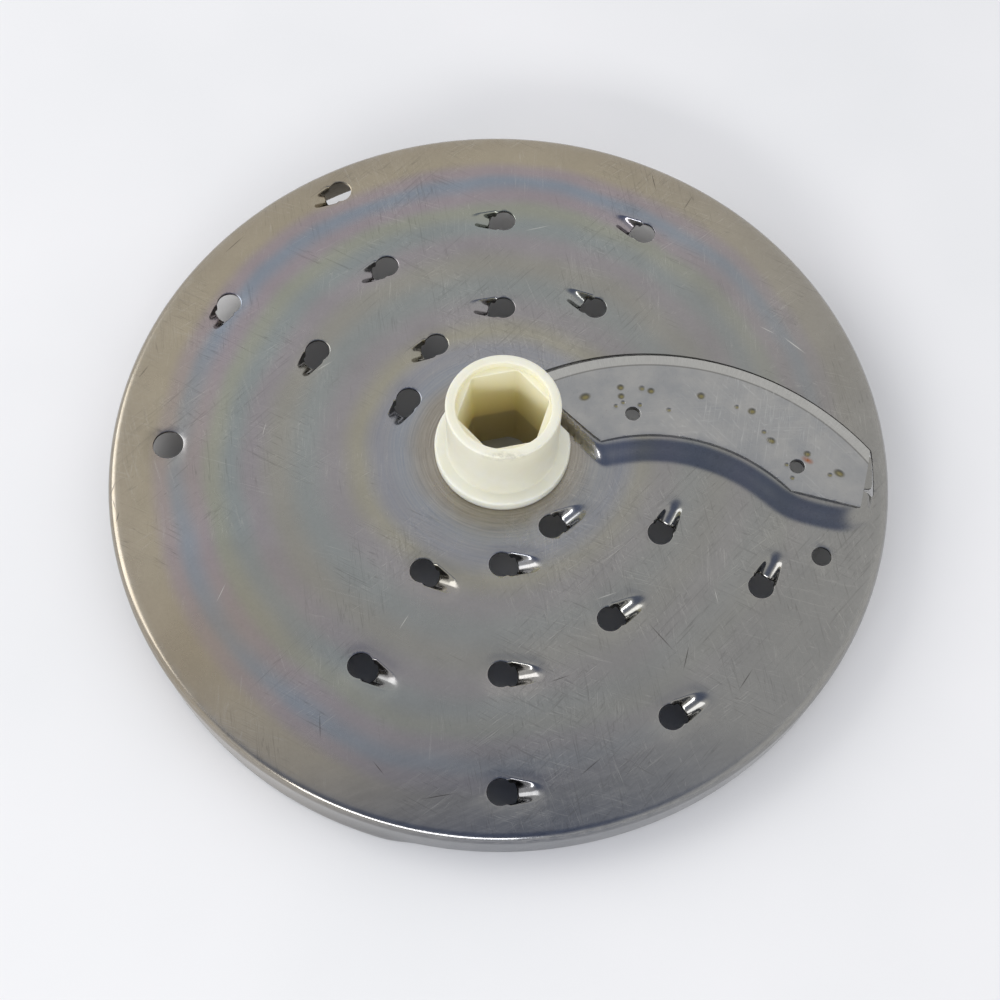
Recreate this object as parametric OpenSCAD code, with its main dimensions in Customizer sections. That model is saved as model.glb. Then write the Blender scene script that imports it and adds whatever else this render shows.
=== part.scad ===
// Reversible slicing and shredding disc of a food processor.
// A stamped stainless plate with a turned-down rim carries a slicing blade,
// spot-welded to a raised platform, and twenty pressed shredding teeth.
// An ivory plastic hub with a hexagonal drive socket is moulded through it.
// Origin: on the disc's axis, in the plane it stands on. +Z points up.

/* [Disc] */
// Outer diameter of the disc
disc_d = 170; // [165:0.5:180]
// Sheet thickness of the disc
sheet_t = 0.7; // [0.5:0.05:0.9]
// Depth of the rim, from the disc's upper face to its lower edge
rim_h = 10.3; // [8:0.1:12]
// Outer radius of the bend between the disc and its rim
bend_r = 2; // [1.2:0.1:3]

/* [Shredding teeth] */
// Number of teeth along the spiral
tooth_n = 20; // [8:1:20]
// Distance of the innermost tooth hole from the axis
tooth_first = 21.1; // [20.5:0.1:22]
// Step of the spiral from one tooth to the next
tooth_step = 3; // [2.6:0.05:3]
// Diameter of the pierced hole in front of a tooth
tooth_hole_d = 5.5; // [4.5:0.1:6]
// Radius inside a tooth's trough
trough_r = 2.25; // [1.9:0.05:2.4]
// Slope of a tooth's trough, in degrees
trough_slope = 30; // [26:1:36]
// Depth of the trough's floor at its mouth
trough_depth = 2.5; // [2:0.1:2.8]
// Gap from the pierced hole's edge to the mouth of the tooth
mouth_setback = 0.7; // [0.3:0.1:1]

/* [Blade platform] */
// Distance from the disc's axis to the centre of the blade's arcs
arc_centre_r = 49.1; // [48:0.1:50]
// Direction of that centre, in degrees from +X
arc_centre_a = -47.8; // [-50:0.1:-46]
// Height of the platform above the disc's upper face
platform_h = 2.3; // [1.6:0.1:2.6]
// Radius of the platform's front edge, about the arcs' centre
platform_r = 58.3; // [57.5:0.1:58.6]
// Radius of the slot's outer edge, about the arcs' centre
slot_r = 60.8; // [60:0.1:61.2]
// Where the slot ends beside the hub, in degrees about the arcs' centre
slot_end_a = 118.5; // [117:0.5:119]
// Radius of the rear ramp's foot, about the arcs' centre
ramp_foot_r = 33.1; // [32:0.1:34]
// Width of the rear ramp
ramp_run = 5.4; // [4.5:0.1:5.8]
// Width of the steep ramp beside the hub
hub_ramp_run = 1.8; // [1.7:0.1:2]
// Radius of the lanced cut at the outer end, about the disc's axis
end_cut_r = 81.4; // [81:0.1:81.6]
// Width of that cut
end_cut_w = 0.9; // [0.6:0.1:1.1]
// Where that cut turns inwards, in degrees about the disc's axis
end_cut_a = -7.4; // [-8:0.1:-6]
// Width of the ramp beyond that cut
end_ramp_run = 2.2; // [1.8:0.1:2.4]

/* [Slicing blade] */
// Thickness of the blade
blade_t = 0.7; // [0.5:0.05:1]
// Radius of the cutting edge
edge_r = 59.5; // [59:0.1:59.8]
// Width of the ground bevel
bevel_w = 2.7; // [2:0.1:3.2]
// Thickness left at the cutting edge
edge_t = 0.12; // [0.05:0.01:0.2]
// Radius of the blade's rear edge, about the arcs' centre
blade_rear_r = 38.8; // [38.5:0.1:40]
// Diameter of the two locating holes through blade and platform
pin_hole_d = 3.4; // [3:0.1:4]
// Radius of those holes' centres, about the arcs' centre
pin_hole_r = 44; // [43:0.1:46]

/* [Locating holes] */
// Distance of the two plain holes from the axis
plain_hole_r = 72.4; // [71:0.1:73]
// Diameter of the larger plain hole
large_hole_d = 6.6; // [5:0.1:7]
// Diameter of the smaller plain hole
small_hole_d = 4.3; // [3:0.1:5]

/* [Hub] */
// Height of the hub above the disc's upper face
hub_above = 20; // [16:0.5:24]
// Length of the hub below the disc's upper face
hub_below = 14; // [13:0.5:16]
// Outer diameter of the hub's tube
tube_d = 24.1; // [23.5:0.1:24.4]
// Diameter of the two flanges that clamp the disc
flange_d = 29.5; // [28.5:0.1:30]
// Thickness of the upper flange
flange_t = 2.8; // [2:0.1:3.2]
// Thickness of the lower flange
lower_flange_t = 2; // [1.5:0.1:2.5]
// Distance from the axis to the flat beside the platform
flange_flat = 12.6; // [12.5:0.05:12.9]
// Width across the flats of the hexagonal socket
hex_af = 17; // [15:0.1:17.2]
// Turn of the hexagon's first corner, in degrees from +X
hex_turn = 12.4; // [0:0.1:60]
// Diameter of the round recess at each end of the socket
recess_d = 19.9; // [19.9:0.05:20.4]
// Depth of that recess
recess_h = 1.8; // [1:0.1:2.5]
// Gap left between the hub and the edge of the disc's centre hole
hub_gap = 0.03; // [0.01:0.01:0.05]

/* [Hidden] */
$fn = 96;
eps = 0.01;
deep = 30;
ramp_share = 0.12;
arc_fn = 32;
tooth_fn = 24;
// The disc's upper face, above the plane the hub stands on.
top_z = hub_below;
disc_r = disc_d / 2;
arc_c = arc_centre_r * [cos(arc_centre_a), sin(arc_centre_a)];
// The blade's cutting edge is struck from a centre beside the arcs' centre.
edge_c = arc_c + [0.2, -0.7];
// Rays of the spiral: teeth take one ray of each family in turn.
rays_a = [300, 270, 240, 330];
rays_b = [150, 120, 90, 60];
// The hub's flat, the ramp's foot beside it and the keyed hole share a line.
hub_side_a = 41.5;
hub_ramp_foot = 13.4;
// Rear edge of the outer end: direction of its normal and the foot's distance.
rear_line_a = 75.2;
rear_line_foot = -0.5;
blade_rear_line = 5.55;
// Corner of the platform between the rear line and the outer end.
corner_line_a = 121.6;
corner_line_foot = -56.1;
// The blade's inner end, with a step near its rear corner.
blade_end_a = 45.7;
blade_end_dist = 15.1;
blade_step_dist = 15.5;
blade_step_r = 40.6;
// The blade's outer end lies square to its rear line.
blade_tip_dist = 77.9;
pin_hole_a = [95.8, 45.5];
// The cut at the outer end ends this far from the axis, and is this wide.
hook_r = 78;
hook_w = 0.7;
// Middle lines of the slot and of the cut at the outer end.
slot_mid_r = (slot_r + platform_r) / 2;
end_mid_r = end_cut_r - end_cut_w / 2;
large_hole_a = 180;
small_hole_a = -20;
// The disc's centre hole, with two flats that key the hub.
key_r = 13.1;
key_flat = 12.2;
hub_edge = 0.4;
steel = [0.60, 0.60, 0.58];
blade_steel = [0.66, 0.66, 0.65];
ivory = [0.93, 0.92, 0.83];

function tooth_ray(k) = k % 2 == 0 ? rays_a[(k / 2) % 4] : rays_b[((k - 1) / 2) % 4];
function tooth_dist(k) = tooth_first + tooth_step * k;

// A disc with a rounded upper edge, whose upper face is at z = 0.
module coin(r, h, edge) {
    rotate_extrude() {
        translate([0, -h]) square([r, h - edge]);
        translate([0, -edge - eps]) square([r - edge, edge + eps]);
        intersection() {
            translate([r - edge, -edge]) circle(edge, $fn = arc_fn);
            translate([0, -edge - eps]) square([r, edge + eps]);
        }
    }
}

// Step from a bend between slopes a and b to the same bend of the underside.
function mitre(a, b, t) = t / cos((b - a) / 2) * [sin((a + b) / 2), -cos((a + b) / 2)];

// Section of a pressed ramp that climbs from x = 0 to x = run in three slopes,
// or of its underside t below. It starts under the disc's face, and unless it
// is level at its head it climbs on above the platform.
module ramp_section(run, flat, t, level) {
    s1 = atan(4 * ramp_share * platform_h / run);
    s2 = atan(2 * (1 - 2 * ramp_share) * platform_h / run);
    v1 = [run / 4, ramp_share * platform_h] + mitre(s1, s2, t);
    v2 = [3 * run / 4, (1 - ramp_share) * platform_h] + mitre(s2, s1, t);
    foot = v1 - 4 * [cos(s1), sin(s1)];
    head = level ? [run, platform_h] + mitre(s1, 0, t) : v2 + 6 * [cos(s1), sin(s1)];
    polygon([[foot[0], -deep], foot, v1, v2, head, [head[0] + flat, head[1]], [head[0] + flat, -deep]]);
}

// A straight ramp: its foot is dist from the axis and it climbs towards a.
module straight_ramp(a, dist, run, t) {
    rotate([0, 0, a]) translate([dist, 150, 0]) rotate([90, 0, 0])
        linear_extrude(300) ramp_section(run, 250, t, false);
}

// All that lies under the platform's upper face, or t below that face.
module platform_form(t) {
    intersection() {
        translate(arc_c) rotate_extrude()
            translate([ramp_foot_r, 0]) ramp_section(ramp_run, 30, t, true);
        straight_ramp(hub_side_a, hub_ramp_foot, hub_ramp_run, t);
        straight_ramp(rear_line_a, rear_line_foot, ramp_run, t);
        straight_ramp(corner_line_a, corner_line_foot, ramp_run, t);
        union() {
            rotate_extrude() translate([end_cut_r, 0]) mirror([1, 0])
                ramp_section(end_ramp_run, 60, t, false);
            cylinder(r = 50, h = deep, center = true);
            // Within the cut the platform stays level to its edge.
            translate([0, 0, -deep]) linear_extrude(deep + platform_h + 1) intersection() {
                circle(end_mid_r);
                rotate(end_cut_a) square(150);
            }
        }
        translate(arc_c) cylinder(r = slot_mid_r, h = 2 * deep, center = true);
    }
}

// The lanced opening: a slot in front of the blade, and a cut round its end.
module slot_form() {
    linear_extrude(2 * deep, center = true) {
        difference() {
            intersection() {
                translate(arc_c) circle(slot_r);
                circle(end_cut_r);
                translate(arc_c) rotate(slot_end_a) translate([0, -150]) square(150);
                rotate(end_cut_a) square(150);
            }
            intersection() {
                translate(arc_c) circle(platform_r);
                circle(end_cut_r - end_cut_w);
            }
        }
        translate(arc_c) rotate(slot_end_a) translate([slot_mid_r, 0])
            circle(slot_r - slot_mid_r, $fn = arc_fn);
        rotate(end_cut_a) {
            translate([hook_r, 0]) circle(d = hook_w, $fn = arc_fn);
            translate([hook_r, -hook_w / 2]) square([end_mid_r - hook_r, hook_w]);
            translate([end_mid_r, 0]) circle(d = end_cut_w, $fn = arc_fn);
        }
    }
}

// A tooth's trough as a sloping round bar; its hole is at the origin, and the
// trough climbs along +X from the mouth to the disc's upper face.
module trough(r) {
    mouth = tooth_hole_d / 2 + mouth_setback;
    lift = trough_r / cos(trough_slope) - trough_depth;
    translate([mouth, 0, lift]) rotate([0, 90 - trough_slope, 0])
        translate([0, 0, -4.5]) cylinder(r = r, h = 14, $fn = tooth_fn);
}

// The wall of a tooth, below the middle of the sheet.
module tooth_wall() {
    mouth = tooth_hole_d / 2 + mouth_setback;
    difference() {
        intersection() {
            trough(trough_r + sheet_t);
            translate([-8, -8, -10 - sheet_t / 2]) cube([24, 16, 10]);
        }
        translate([0, 0, -sheet_t - 10]) cylinder(r = mouth, h = 10, $fn = tooth_fn);
    }
}

// Puts its children at every tooth, turned to climb anticlockwise.
module at_teeth() {
    for (k = [0 : tooth_n - 1])
        rotate([0, 0, tooth_ray(k)]) translate([tooth_dist(k), 0, 0]) rotate([0, 0, 90])
            children();
}

// Outline of the keyed hole, smaller by gap for the hub that fills it.
module key_outline(gap) {
    intersection() {
        circle(key_r - gap);
        rotate(hub_side_a) square([2 * (key_flat - gap), 3 * key_r], center = true);
    }
}

module pin_holes() {
    for (a = pin_hole_a)
        translate(arc_c) rotate(a) translate([pin_hole_r, 0]) circle(d = pin_hole_d);
}

module disc() {
    color(steel) translate([0, 0, top_z]) difference() {
        union() {
            difference() {
                union() {
                    coin(disc_r, rim_h, bend_r);
                    platform_form(0);
                }
                translate([0, 0, -sheet_t]) coin(disc_r - sheet_t, rim_h, bend_r - sheet_t);
                platform_form(sheet_t);
                translate([0, 0, -rim_h - deep - eps]) cylinder(r = disc_r + 1, h = deep + eps);
            }
            at_teeth() tooth_wall();
        }
        slot_form();
        at_teeth() {
            trough(trough_r);
            cylinder(d = tooth_hole_d, h = 4 * sheet_t, center = true, $fn = tooth_fn);
        }
        linear_extrude(20, center = true) {
            key_outline(0);
            pin_holes();
            rotate(large_hole_a) translate([plain_hole_r, 0]) circle(d = large_hole_d);
            rotate(small_hole_a) translate([plain_hole_r, 0]) circle(d = small_hole_d);
        }
    }
}

module blade_outline() {
    difference() {
        intersection() {
            translate(edge_c) circle(edge_r);
            rotate(blade_end_a) translate([blade_end_dist, -150]) square([150, 300]);
            rotate(rear_line_a) translate([blade_rear_line, -150]) square([150, 300]);
            rotate(rear_line_a - 90) translate([-50, -150]) square([50 + blade_tip_dist, 300]);
        }
        translate(arc_c) circle(blade_rear_r);
        intersection() {
            translate(arc_c) circle(blade_step_r);
            rotate(blade_end_a) translate([0, -40]) square([blade_step_dist, 80]);
        }
        pin_holes();
    }
}

module slicing_blade() {
    drop = (blade_t - edge_t) / bevel_w;
    color(blade_steel) translate([0, 0, top_z + platform_h]) difference() {
        linear_extrude(blade_t) blade_outline();
        // The bevel falls from the upper face to the cutting edge.
        translate(edge_c) rotate_extrude() polygon([
            [edge_r - bevel_w, blade_t],
            [edge_r + 1, blade_t - drop * (bevel_w + 1)],
            [edge_r + 1, blade_t + 1],
            [edge_r - bevel_w, blade_t + 1]
        ]);
    }
}

// A round bar with rounded ends.
module round_bar(r, h, edge) {
    rotate_extrude() {
        square([r - edge, h]);
        translate([0, edge]) square([r, h - 2 * edge]);
        translate([r - edge, edge]) circle(edge);
        translate([r - edge, h - edge]) circle(edge);
    }
}

module hub() {
    hub_h = hub_below + hub_above;
    color(ivory) difference() {
        union() {
            round_bar(tube_d / 2, hub_h, hub_edge);
            intersection() {
                translate([0, 0, top_z]) cylinder(d = flange_d, h = flange_t);
                rotate([0, 0, hub_side_a]) translate([flange_flat - 60, -30, 0]) cube([60, 60, hub_h]);
            }
            translate([0, 0, top_z - sheet_t - lower_flange_t])
                cylinder(d = flange_d, h = lower_flange_t);
            translate([0, 0, top_z - sheet_t - eps]) linear_extrude(sheet_t + 2 * eps)
                key_outline(hub_gap);
        }
        rotate([0, 0, hex_turn]) translate([0, 0, -1])
            cylinder(d = hex_af / cos(30), h = hub_h + 2, $fn = 6);
        translate([0, 0, -1]) cylinder(d = recess_d, h = 1 + recess_h);
        translate([0, 0, hub_h - recess_h]) cylinder(d = recess_d, h = recess_h + 1);
    }
}

disc();
slicing_blade();
hub();
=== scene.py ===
import math

import bpy
import numpy as np
from mathutils import Matrix, Vector
from mathutils.geometry import delaunay_2d_cdt
from mathutils.kdtree import KDTree


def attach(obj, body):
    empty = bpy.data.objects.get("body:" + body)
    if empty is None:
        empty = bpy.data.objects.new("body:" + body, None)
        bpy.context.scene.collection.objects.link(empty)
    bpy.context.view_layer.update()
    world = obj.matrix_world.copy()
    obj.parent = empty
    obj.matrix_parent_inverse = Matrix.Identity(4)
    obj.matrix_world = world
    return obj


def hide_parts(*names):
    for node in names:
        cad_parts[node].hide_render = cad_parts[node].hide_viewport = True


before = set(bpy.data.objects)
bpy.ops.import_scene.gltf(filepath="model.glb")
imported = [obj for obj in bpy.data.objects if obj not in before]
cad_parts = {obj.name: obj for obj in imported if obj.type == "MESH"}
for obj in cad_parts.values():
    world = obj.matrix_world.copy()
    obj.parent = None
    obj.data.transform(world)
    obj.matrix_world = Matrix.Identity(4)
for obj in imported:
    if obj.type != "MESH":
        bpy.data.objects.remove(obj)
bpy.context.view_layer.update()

# Sizes in millimetres, as in the part's source. Heights are above the
# plate's upper face, which lies TOP above the plane the hub stands on.
TOP = 14.0
SHEET = 0.7
DISC_R = 85.0
RIM_H = 10.3
BEND_R = 2.0
ARC_A = math.radians(-47.8)
ARC_C = np.array([49.1 * math.cos(ARC_A), 49.1 * math.sin(ARC_A)])
PLATFORM_H = 2.3
PLATFORM_R = 58.3
SLOT_R = 60.8
SLOT_END_A = math.radians(118.5)
RAMP_FOOT_R = 33.1
RAMP_RUN = 5.4
HUB_SIDE_A = math.radians(41.5)
HUB_RAMP_FOOT = 13.4
HUB_RAMP_RUN = 1.8
REAR_A = math.radians(75.2)
REAR_FOOT = -0.5
CORNER_A = math.radians(121.6)
CORNER_FOOT = -56.1
END_CUT_R = 81.4
END_CUT_W = 0.9
END_CUT_A = math.radians(-7.4)
END_RAMP_RUN = 2.2
HOOK_R = 78.0
HOOK_W = 0.7
SLOT_MID_R = (SLOT_R + PLATFORM_R) / 2
END_MID_R = END_CUT_R - END_CUT_W / 2
TOOTH_N = 20
TOOTH_FIRST = 21.1
TOOTH_STEP = 3.0
TOOTH_HOLE_R = 2.75
MOUTH_R = 3.45
TROUGH_R = 2.1
TROUGH_SLOPE = math.radians(30)
TROUGH_DEPTH = 2.5
BLADE_T = 0.7
EDGE_C = ARC_C + np.array([0.2, -0.7])
EDGE_R = 59.5
EDGE_T = 0.12
BEVEL_W = 2.7
BLADE_REAR_R = 38.8
BLADE_END_A = math.radians(45.7)
PIN_R = 44.0
PIN_A = [math.radians(95.8), math.radians(45.5)]
PIN_HOLE_R = 1.7


def new_object(name, points, faces, material, smooth_angle=35.0):
    """A mesh object from points in millimetres above the plate's face and faces by index."""
    mesh = bpy.data.meshes.new(name)
    points = np.asarray(points, float) * 0.001
    points[:, 2] += TOP * 0.001
    mesh.from_pydata(points.tolist(), [], faces)
    mesh.materials.append(material)
    mesh.shade_smooth()
    mesh.set_sharp_from_angle(angle=math.radians(smooth_angle))
    mesh.update()
    obj = bpy.data.objects.new(name, mesh)
    bpy.context.scene.collection.objects.link(obj)
    return obj


def smooth_step(q):
    """S-curve from 0 at q = 0 to 1 at q = 1: three q squared less two q cubed."""
    q = np.clip(q, 0.0, 1.0)
    return q * q * (3.0 - 2.0 * q)


def soft_min(a, b, k):
    """Minimum of a and b, rounded where they meet: minus the log of the summed exponentials over k."""
    return -np.logaddexp(-k * a, -k * b) / k


def round_min(a, b, k):
    """Minimum of a and b with a fillet k wide: their blend less k times the blend's product."""
    h = np.clip(0.5 + 0.5 * (b - a) / k, 0.0, 1.0)
    return b + (a - b) * h - k * h * (1.0 - h)


def along(p, a):
    """Distance of points from the origin in direction a: the dot product with its unit vector."""
    return p[:, 0] * math.cos(a) + p[:, 1] * math.sin(a)


def turned(p, a):
    """Points turned about the origin by a."""
    c, s = math.cos(a), math.sin(a)
    return np.stack([p[:, 0] * c - p[:, 1] * s, p[:, 0] * s + p[:, 1] * c], -1)


def arc(centre, r, a0, a1, step):
    """Points on an arc from a0 to a1, about step apart, both ends included."""
    n = max(2, int(abs(a1 - a0) * r / step) + 1)
    a = np.linspace(a0, a1, n)
    return np.stack([centre[0] + r * np.cos(a), centre[1] + r * np.sin(a)], -1)


def resample(points, step):
    """A closed outline in equal steps along its length."""
    ring = np.vstack([points, points[:1]])
    seg = np.hypot(*np.diff(ring, axis=0).T)
    run = np.r_[0.0, np.cumsum(seg)]
    n = max(12, int(run[-1] / step))
    s = np.arange(n) * run[-1] / n
    return np.stack([np.interp(s, run, ring[:, 0]), np.interp(s, run, ring[:, 1])], -1)


def eased(points, times):
    """A closed outline whose corners are rounded: each point moves to the mean of itself and its neighbours."""
    for _ in range(times):
        points = 0.5 * points + 0.25 * (np.roll(points, 1, 0) + np.roll(points, -1, 0))
    return points


def inside(poly, p):
    """True for points inside a polygon, by counting its edges crossed to their right."""
    hit = np.zeros(len(p), bool)
    lo, hi = poly.min(0) - 1e-6, poly.max(0) + 1e-6
    near = np.where(((p >= lo) & (p <= hi)).all(1))[0]
    if len(near) == 0:
        return hit
    x, y = p[near, 0], p[near, 1]
    odd = np.zeros(len(near), bool)
    for (x0, y0), (x1, y1) in zip(poly, np.roll(poly, -1, 0)):
        cross = (y0 > y) != (y1 > y)
        t = (y - y0) / (y1 - y0 if y1 != y0 else 1e-12)
        odd ^= cross & (x < x0 + t * (x1 - x0))
    hit[near] = odd
    return hit


def offset_ring(poly, d):
    """A closed outline moved outwards by d along its mean normals."""
    step = np.roll(poly, -1, 0) - np.roll(poly, 1, 0)
    n = np.stack([step[:, 1], -step[:, 0]], -1)
    n /= np.hypot(n[:, 0], n[:, 1])[:, None]
    area = np.sum(poly[:, 0] * np.roll(poly[:, 1], -1) - np.roll(poly[:, 0], -1) * poly[:, 1])
    return poly + n * (d if area > 0 else -d)


def triangulated(outer, holes, loose):
    """Triangles that fill outer less holes, through the loose points that keep clear of every outline."""
    loops = [outer] + holes
    tree_points = np.vstack(loops)
    tree = KDTree(len(tree_points))
    for i, q in enumerate(tree_points):
        tree.insert((q[0], q[1], 0.0), i)
    tree.balance()
    spacing = np.concatenate([np.hypot(*(np.roll(q, -1, 0) - q).T) for q in loops])
    keep = inside(outer, loose)
    for hole in holes:
        keep &= ~inside(hole, loose)
    loose = loose[keep]
    clear = []
    for q in loose:
        _, i, dist = tree.find((q[0], q[1], 0.0))
        clear.append(dist > 0.35 * spacing[i])
    loose = loose[np.array(clear)]
    verts, edges = [], []
    for q in loops:
        base = len(verts)
        verts.extend(Vector((float(a), float(b))) for a, b in q)
        edges.extend((base + i, base + (i + 1) % len(q)) for i in range(len(q)))
    verts.extend(Vector((float(a), float(b))) for a, b in loose)
    out, _, tris, _, _, _ = delaunay_2d_cdt(verts, edges, [], 0, 1e-5)
    p = np.array([(v[0], v[1]) for v in out])
    tris = np.array([t for t in tris if len(t) == 3])
    mid = p[tris].mean(1)
    keep = inside(outer, mid)
    for hole in holes:
        keep &= ~inside(hole, mid)
    tris = tris[keep]
    a, b, c = p[tris[:, 0]], p[tris[:, 1]], p[tris[:, 2]]
    area = (b[:, 0] - a[:, 0]) * (c[:, 1] - a[:, 1]) - (b[:, 1] - a[:, 1]) * (c[:, 0] - a[:, 0])
    tris[area < 0] = tris[area < 0][:, ::-1]
    used, tris = np.unique(tris, return_inverse=True)
    return p[used], tris.reshape(-1, 3)


def rim_edges(tris):
    """Edges that only one triangle uses, each in that triangle's direction."""
    e = np.vstack([tris[:, [0, 1]], tris[:, [1, 2]], tris[:, [2, 0]]])
    key = np.sort(e, 1)
    _, first, count = np.unique(key, axis=0, return_index=True, return_counts=True)
    return e[first[count == 1]]


# The disc is one stamped sheet. Its upper face is a height over the plan, its
# underside lies one sheet thickness below along the normals, and a turned-down
# rim closes it outside. Teeth, platform and ramps are pressed into that height.
HOLE_RAYS = [300, 270, 240, 330]
BACK_RAYS = [150, 120, 90, 60]


def tooth_places():
    """Centre and climbing direction of each tooth: the radius grows by one step a tooth, and the rays take turns."""
    places = []
    for k in range(TOOTH_N):
        ray = HOLE_RAYS[(k // 2) % 4] if k % 2 == 0 else BACK_RAYS[(k // 2) % 4]
        a = math.radians(ray)
        r = TOOTH_FIRST + TOOTH_STEP * k
        places.append((np.array([r * math.cos(a), r * math.sin(a)]), a + math.pi / 2))
    return places


def platform_height(p):
    """Height of the blade's platform: the S-curve of the least progress up the five ramps round it."""
    from_c = np.hypot(p[:, 0] - ARC_C[0], p[:, 1] - ARC_C[1])
    r = np.hypot(p[:, 0], p[:, 1])
    turn = np.arctan2(p[:, 1], p[:, 0])
    rear = (from_c - RAMP_FOOT_R) / RAMP_RUN
    rear = soft_min(rear, (along(p, REAR_A) - REAR_FOOT) / RAMP_RUN, 5.0)
    rear = soft_min(rear, (along(p, CORNER_A) - CORNER_FOOT) / RAMP_RUN, 5.0)
    hub = (along(p, HUB_SIDE_A) - HUB_RAMP_FOOT) / HUB_RAMP_RUN
    end = np.where(turn < END_CUT_A, (END_CUT_R - r) / END_RAMP_RUN, 9.0)
    q = soft_min(soft_min(rear, hub, 5.0), end, 5.0)
    free = (from_c > SLOT_MID_R) | ((r > END_MID_R) & (turn > END_CUT_A))
    return np.where(free, 0.0, PLATFORM_H * smooth_step(q))


def tooth_height(u, v):
    """Height of a tooth's trough: a sloping round gutter that meets the plate in a rolled lip, in a shallow dish."""
    cos_s, tan_s = math.cos(TROUGH_SLOPE), math.tan(TROUGH_SLOPE)
    lift = TROUGH_R / cos_s - TROUGH_DEPTH
    axis = lift + (u - MOUTH_R) * tan_s
    side = np.abs(v)
    turn_at = 0.93 * TROUGH_R
    depth = math.sqrt(TROUGH_R ** 2 - turn_at ** 2)
    bowl = np.sqrt(np.maximum(TROUGH_R ** 2 - np.minimum(side, turn_at) ** 2, 0.0))
    floor = axis - bowl / cos_s + np.maximum(side - turn_at, 0.0) * turn_at / (depth * cos_s)
    floor = floor + 2.0 * np.maximum(2.2 - u, 0.0) ** 2
    z = round_min(np.zeros_like(floor), floor, 0.8)
    # The dish is drawn round a line from the hole to the trough's far end.
    t = np.clip(u / 5.4, 0.0, 1.0)
    reach = np.hypot(u - 5.4 * t, v) - (TOOTH_HOLE_R + t * (2.3 - TOOTH_HOLE_R))
    return z - 0.15 * np.exp(-(np.maximum(reach, 0.0) / 1.5) ** 2)


PLACES = tooth_places()


def plate_height(p):
    """Height of the plate's upper face: platform plus all troughs."""
    z = platform_height(p)
    for centre, a in PLACES:
        q = p - centre
        near = np.where(np.abs(q).max(1) < 13.0)[0]
        if len(near):
            local = turned(q[near], -a)
            z[near] += tooth_height(local[:, 0], local[:, 1])
    return z


def plate_normals(p):
    """Unit normals of the upper face, from the height's differences over a fiftieth of a millimetre."""
    h = 0.02
    dx = (plate_height(p + [h, 0]) - plate_height(p - [h, 0])) / (2 * h)
    dy = (plate_height(p + [0, h]) - plate_height(p - [0, h])) / (2 * h)
    n = np.stack([-dx, -dy, np.ones(len(p))], -1)
    return n / np.linalg.norm(n, axis=1)[:, None]


def tooth_outline():
    """Outline of a tooth's opening in its own frame: the round hole, and the neck out to the mouth's arc."""
    neck = 2.0
    a0 = math.asin(neck / TOOTH_HOLE_R)
    a1 = math.asin(neck / MOUTH_R)
    hole = arc((0, 0), TOOTH_HOLE_R, a0, 2 * math.pi - a0, 0.06)
    mouth = arc((0, 0), MOUTH_R, -a1, a1, 0.06)
    ring = resample(np.vstack([hole, mouth]), 0.06)
    return resample(eased(ring, 12), 0.24)


def key_outline():
    """The plate's centre hole, a circle with two flats."""
    a = np.linspace(0, 2 * math.pi, 721)[:-1]
    r = np.minimum(13.1, 12.2 / np.maximum(np.abs(np.cos(a - HUB_SIDE_A)), 1e-6))
    return resample(np.stack([r * np.cos(a), r * np.sin(a)], -1), 0.8)


def slot_outline():
    """The lanced opening: along the blade's edge, round its outer end and inwards in a short hooked cut."""
    def on_arc(radius_c, radius_o):
        """Direction about the arcs' centre where a circle there meets one about the disc's axis."""
        d = np.hypot(*ARC_C)
        base = math.atan2(-ARC_C[1], -ARC_C[0])
        bend = math.acos((radius_c ** 2 + d ** 2 - radius_o ** 2) / (2 * radius_c * d))
        return base - bend
    def turn_of(a, radius):
        q = ARC_C + radius * np.array([math.cos(a), math.sin(a)])
        return math.atan2(q[1], q[0])
    a_out = on_arc(SLOT_R, END_CUT_R)
    a_in = on_arc(PLATFORM_R, END_CUT_R - END_CUT_W)
    half = math.radians(0.5) * HOOK_W
    outer = arc(ARC_C, SLOT_R, SLOT_END_A, a_out, 0.6)
    end = arc((0, 0), END_CUT_R, turn_of(a_out, SLOT_R), END_CUT_A, 0.5)
    cut = np.array([math.cos(END_CUT_A), math.sin(END_CUT_A)])
    side = np.array([-cut[1], cut[0]]) * HOOK_W / 2
    tip = arc(cut * HOOK_R, HOOK_W / 2, END_CUT_A - math.pi / 2, END_CUT_A - 3 * math.pi / 2, 0.12)
    corner = arc(cut * END_MID_R, END_CUT_W / 2, END_CUT_A, END_CUT_A - math.pi / 2, 0.15)
    back = arc((0, 0), END_CUT_R - END_CUT_W, END_CUT_A + 0.012, turn_of(a_in, PLATFORM_R), 0.5)
    bend = np.array([cut * (END_CUT_R - END_CUT_W - 0.5) + side * 1.15])
    inner = arc(ARC_C, PLATFORM_R, a_in, SLOT_END_A, 0.6)
    mid = ARC_C + SLOT_MID_R * np.array([math.cos(SLOT_END_A), math.sin(SLOT_END_A)])
    cap = arc(mid, SLOT_R - SLOT_MID_R, SLOT_END_A + math.pi, SLOT_END_A, 0.25)
    ring = np.vstack([outer, end[1:], corner[1:], tip, bend, back, inner[1:], cap[1:-1]])
    return resample(eased(resample(ring, 0.15), 6), 0.45)


def circle_outline(centre, r, step):
    """A circle in steps of about the given length."""
    n = max(16, int(2 * math.pi * r / step))
    a = np.arange(n) * 2 * math.pi / n
    return np.stack([centre[0] + r * np.cos(a), centre[1] + r * np.sin(a)], -1)


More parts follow.
